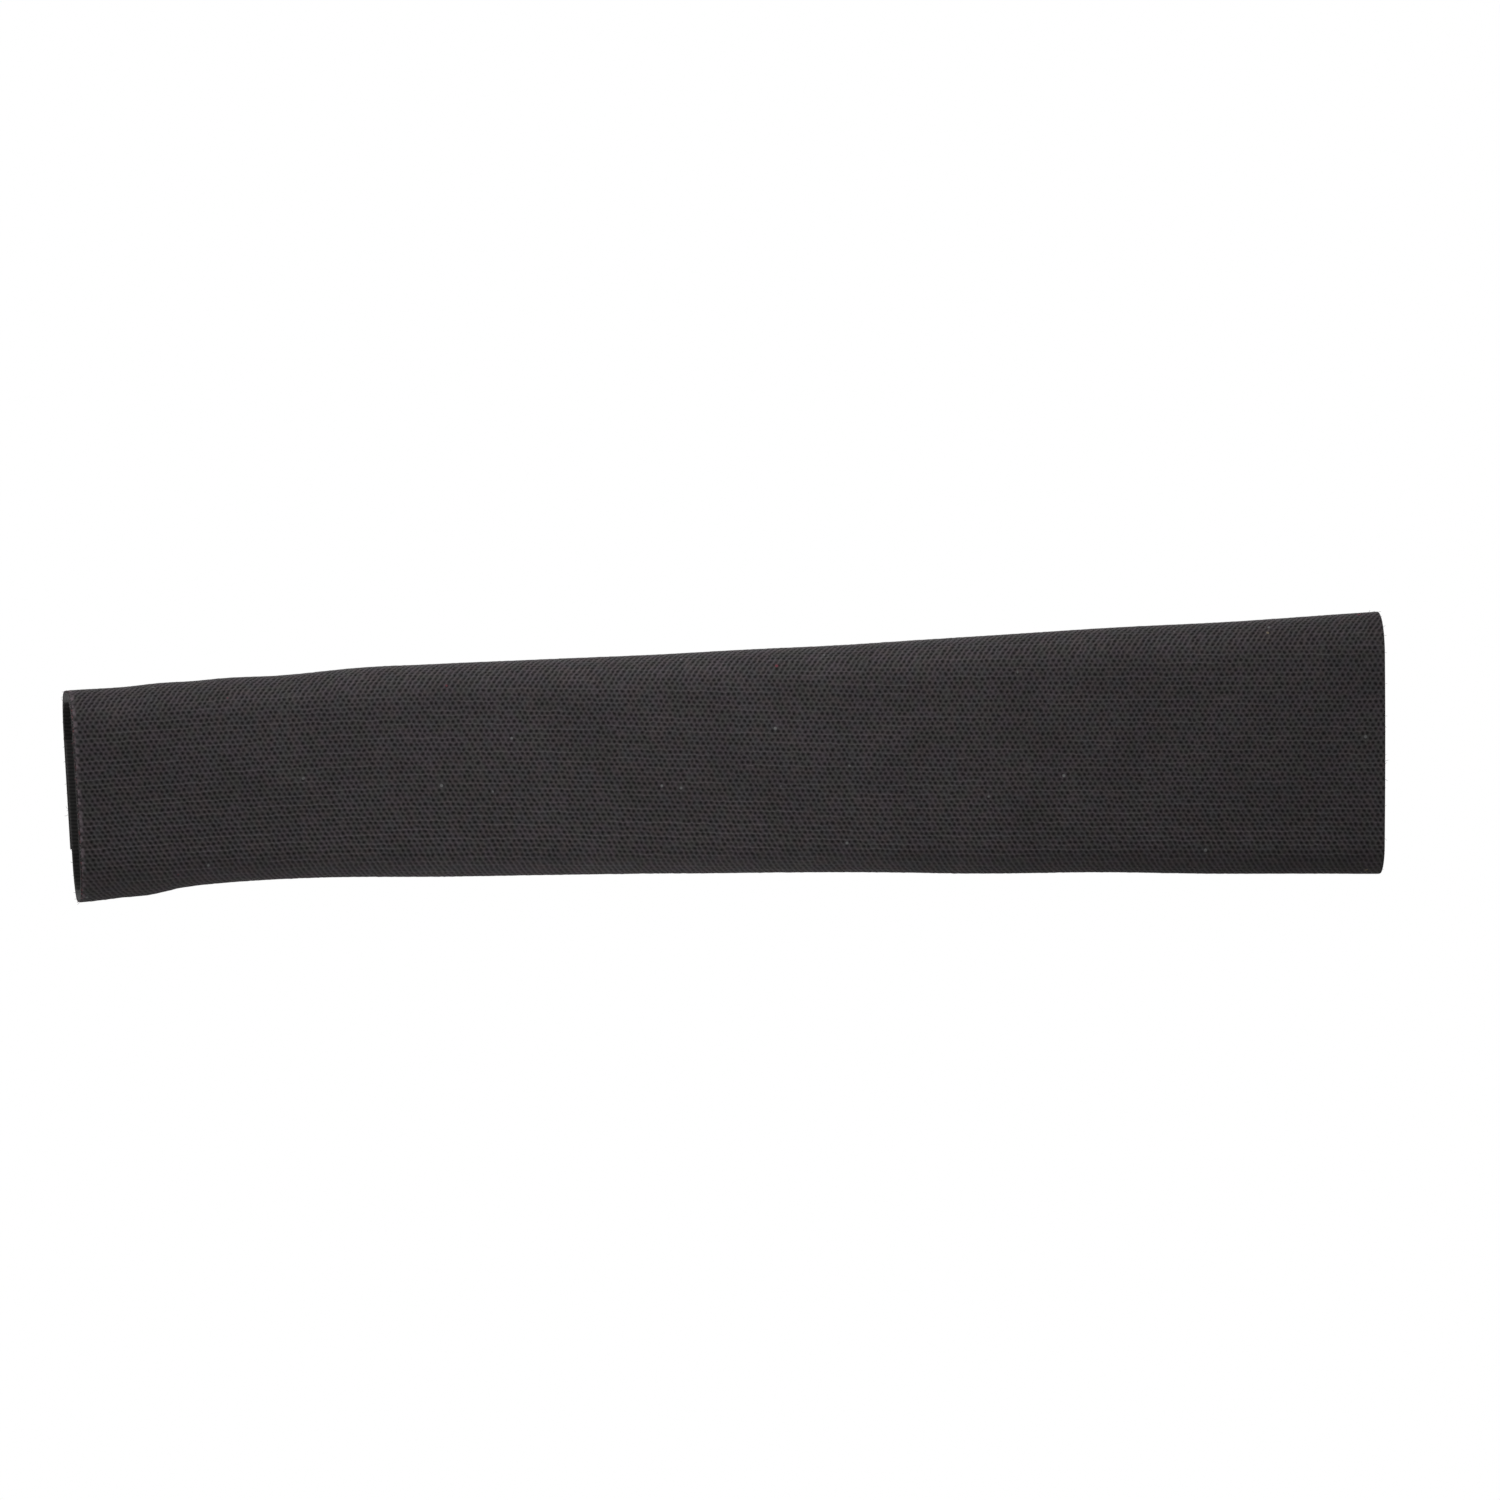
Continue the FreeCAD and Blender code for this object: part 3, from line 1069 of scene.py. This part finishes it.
def rim_material():
    """Cut edge of the knit: dark yarn ends, with pale and pinkish ones among them."""
    look = Look("cut_knit")
    ends = look.noise(look.place(), YARN_ENDS)
    pink = look.noise(look.place(), PINK_SCALE, detail=1.0)
    pale = look.mix(look.ramp(pink, PINK_SPAN), *RIM_PALE)
    worn = look.ramp(look.parts(look.place())[0], *WEAR)
    pale_share = look.times(look.ramp(ends, YARN_END_SPAN), worn)
    return look.settle(
        Base_Color=look.mix(pale_share, DARK_FIBRE, pale),
        Roughness=0.9,
        Specular_IOR_Level=0.1,
        Normal=look.bump(ends, FINE_RELIEF),
    )


def fray_material():
    """Loose fibres of the knit: dark, with a few pale and pinkish ones."""
    look = Look("loose_fibre")
    return look.settle(
        Base_Color=look.pick(look.chance(), FRAY_TURNS, FRAY_SHADES),
        Roughness=0.7,
        Specular_IOR_Level=0.2,
    )


def backing_material(name, shades):
    """Woven nylon, with fine warp ribs along the tape."""
    look = Look(name)
    apart = look.parts(look.place())
    weave = look.times(look.ripple(apart[2], WARP_PITCH), look.ripple(apart[0], BACKING_RIB))
    shade = look.math("MULTIPLY_ADD", weave, WEAVE_SHARE, look.noise(look.place(), WEAVE_GRAIN))
    return look.settle(
        Base_Color=look.mix(shade, *shades),
        Roughness=0.6,
        Specular_IOR_Level=0.3,
        Normal=look.bump(weave, BACKING_RELIEF),
    )


def pile_material():
    """Fine black nylon loops, some paler than others."""
    look = Look("loop_nylon")
    shade = look.times(look.chance(), look.noise(look.place(), DUST_SCALE))
    return look.settle(
        Base_Color=look.mix(shade, *LOOP_SHADES),
        Roughness=0.5,
        Specular_IOR_Level=0.35,
        Sheen_Weight=0.1,
    )


def hook_material():
    """Stiff black nylon hooks, duller where they are scuffed."""
    look = Look("hook_nylon")
    scuff = look.noise(look.place(), SCUFF_SCALE, detail=3.0)
    return look.settle(
        Base_Color=look.mix(scuff, *HOOK_SHADES),
        Roughness=look.ramp(scuff, *SCUFF_ROUGHNESS),
        Specular_IOR_Level=0.45,
    )


def thread_material():
    """Black polyester thread of twisted plies."""
    look = Look("sewing_thread")
    apart = look.parts(look.place())
    ply = look.ripple(look.math("ADD", apart[0], apart[2]), PLY_PITCH)
    shade = look.math("MULTIPLY_ADD", ply, PLY_SHARE, look.noise(look.place(), FUZZ_SCALE))
    return look.settle(
        Base_Color=look.mix(shade, *THREAD_SHADES),
        Roughness=0.45,
        Specular_IOR_Level=0.4,
        Normal=look.bump(ply, PLY_RELIEF),
    )


def camera():
    """A far camera, level with the sleeve and a little towards its rear end."""
    data = bpy.data.cameras.new("camera")
    data.sensor_width = SENSOR
    data.lens = SENSOR * VIEW_DISTANCE / VIEW_WIDTH
    data.clip_end = VIEW_REACH
    piece = linked("camera", data)
    back = Vector((math.sin(VIEW_AZIMUTH), -math.cos(VIEW_AZIMUTH), 0))
    piece.location = VIEW_CENTRE + back * VIEW_DISTANCE
    piece.rotation_euler = (-back).to_track_quat("-Z", "Y").to_euler()
    bpy.context.scene.camera = piece


def softbox(name, place, aim, size, power):
    """A square lamp that faces a point."""
    data = bpy.data.lights.new(name, "AREA")
    data.size = size
    data.energy = power
    piece = linked(name, data)
    piece.location = place
    piece.rotation_euler = (Vector(aim) - Vector(place)).to_track_quat("-Z", "Y").to_euler()
    piece.visible_camera = False


def white_world():
    """A white background that lights the sleeve at a lower level."""
    look = Look("studio", "worlds", "Background")
    strength = look.ramp(look.seen(), (0.0, 1.0), (AMBIENT, BACKGROUND), kind="LINEAR")
    bpy.context.scene.world = look.settle(Color=WHITE, Strength=strength)


def floor():
    """A pale round floor that keeps the sleeve's shadow and fades to white at its rim."""
    look = Look("pale_floor")
    away = look.add("VectorMath", {0: look.place()}, operation="LENGTH").outputs["Value"]
    glow = look.add("Emission", {"Color": WHITE, "Strength": BACKGROUND})
    seen = look.seen()
    material = look.settle(
        Base_Color=look.mix(seen, *FLOOR_SHADES),
        Roughness=0.9,
        Specular_IOR_Level=0.0,
    )
    fade = look.times(look.ramp(away, *FLOOR_FADE), seen)
    blend = look.add("MixShader", {0: fade, 1: look.shader.outputs[0], 2: glow.outputs[0]})
    look.feed(look.tree.nodes["Material Output"].inputs[0], blend.outputs[0])
    mesh = bpy.data.meshes.new("floor")
    shape = bmesh.new()
    bmesh.ops.create_circle(shape, cap_ends=True, segments=FLOOR_SEGMENTS, radius=FLOOR_RADIUS)
    shape.to_mesh(mesh)
    shape.free()
    mesh.materials.append(material)
    piece = linked("floor", mesh)
    piece.location = (0, 0, -FLOOR_DROP)


# Pieces of the sleeve
sleeve, cut_edge = neoprene_wrap([knit_material(), foam_material(), lining_material(), rim_material()])
fibres = edge_fibres(cut_edge, fray_material())
loop_tape = tape_backing("loop_tape", LOOP_SEAT, 1, backing_material("loop_backing", LOOP_BACKING_SHADES))
pile = loop_pile(pile_material())
hook_tape = tape_backing("hook_tape", HOOK_SEAT, -1, backing_material("hook_backing", HOOK_BACKING_SHADES))
hooks = hook_field(hook_material())
thread = thread_material()
lower_faces = ((LOWER_FLAP - WALL / 2, -1, 0.0), (LOOP_SEAT + BACKING, 1, 0.0))
upper_faces = ((UPPER_FLAP + WALL / 2, 1, STITCH_SINK), (HOOK_SEAT - BACKING, -1, 0.0))
lower_stitches = stitches("loop_tape_stitches", lower_faces, thread)
upper_stitches = stitches("hook_tape_stitches", upper_faces, thread)

# What each piece rides on, and the parts of the model that the pieces stand for, hidden
for slot, pieces in (
    ("neoprene", (sleeve, fibres)),
    ("loop_tape", (loop_tape, pile, lower_stitches)),
    ("hook_tape", (hook_tape, hooks, upper_stitches)),
):
    for piece in pieces:
        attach(piece, "root")
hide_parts("neoprene_wrap")
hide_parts("loop_strip")
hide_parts("loop_strip")
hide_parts("hook_strip")
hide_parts("hook_strip")

# Floor, light and camera
bpy.context.scene.view_settings.view_transform = "Standard"
floor()
white_world()
for lamp in LAMPS:
    softbox(*lamp)
camera()
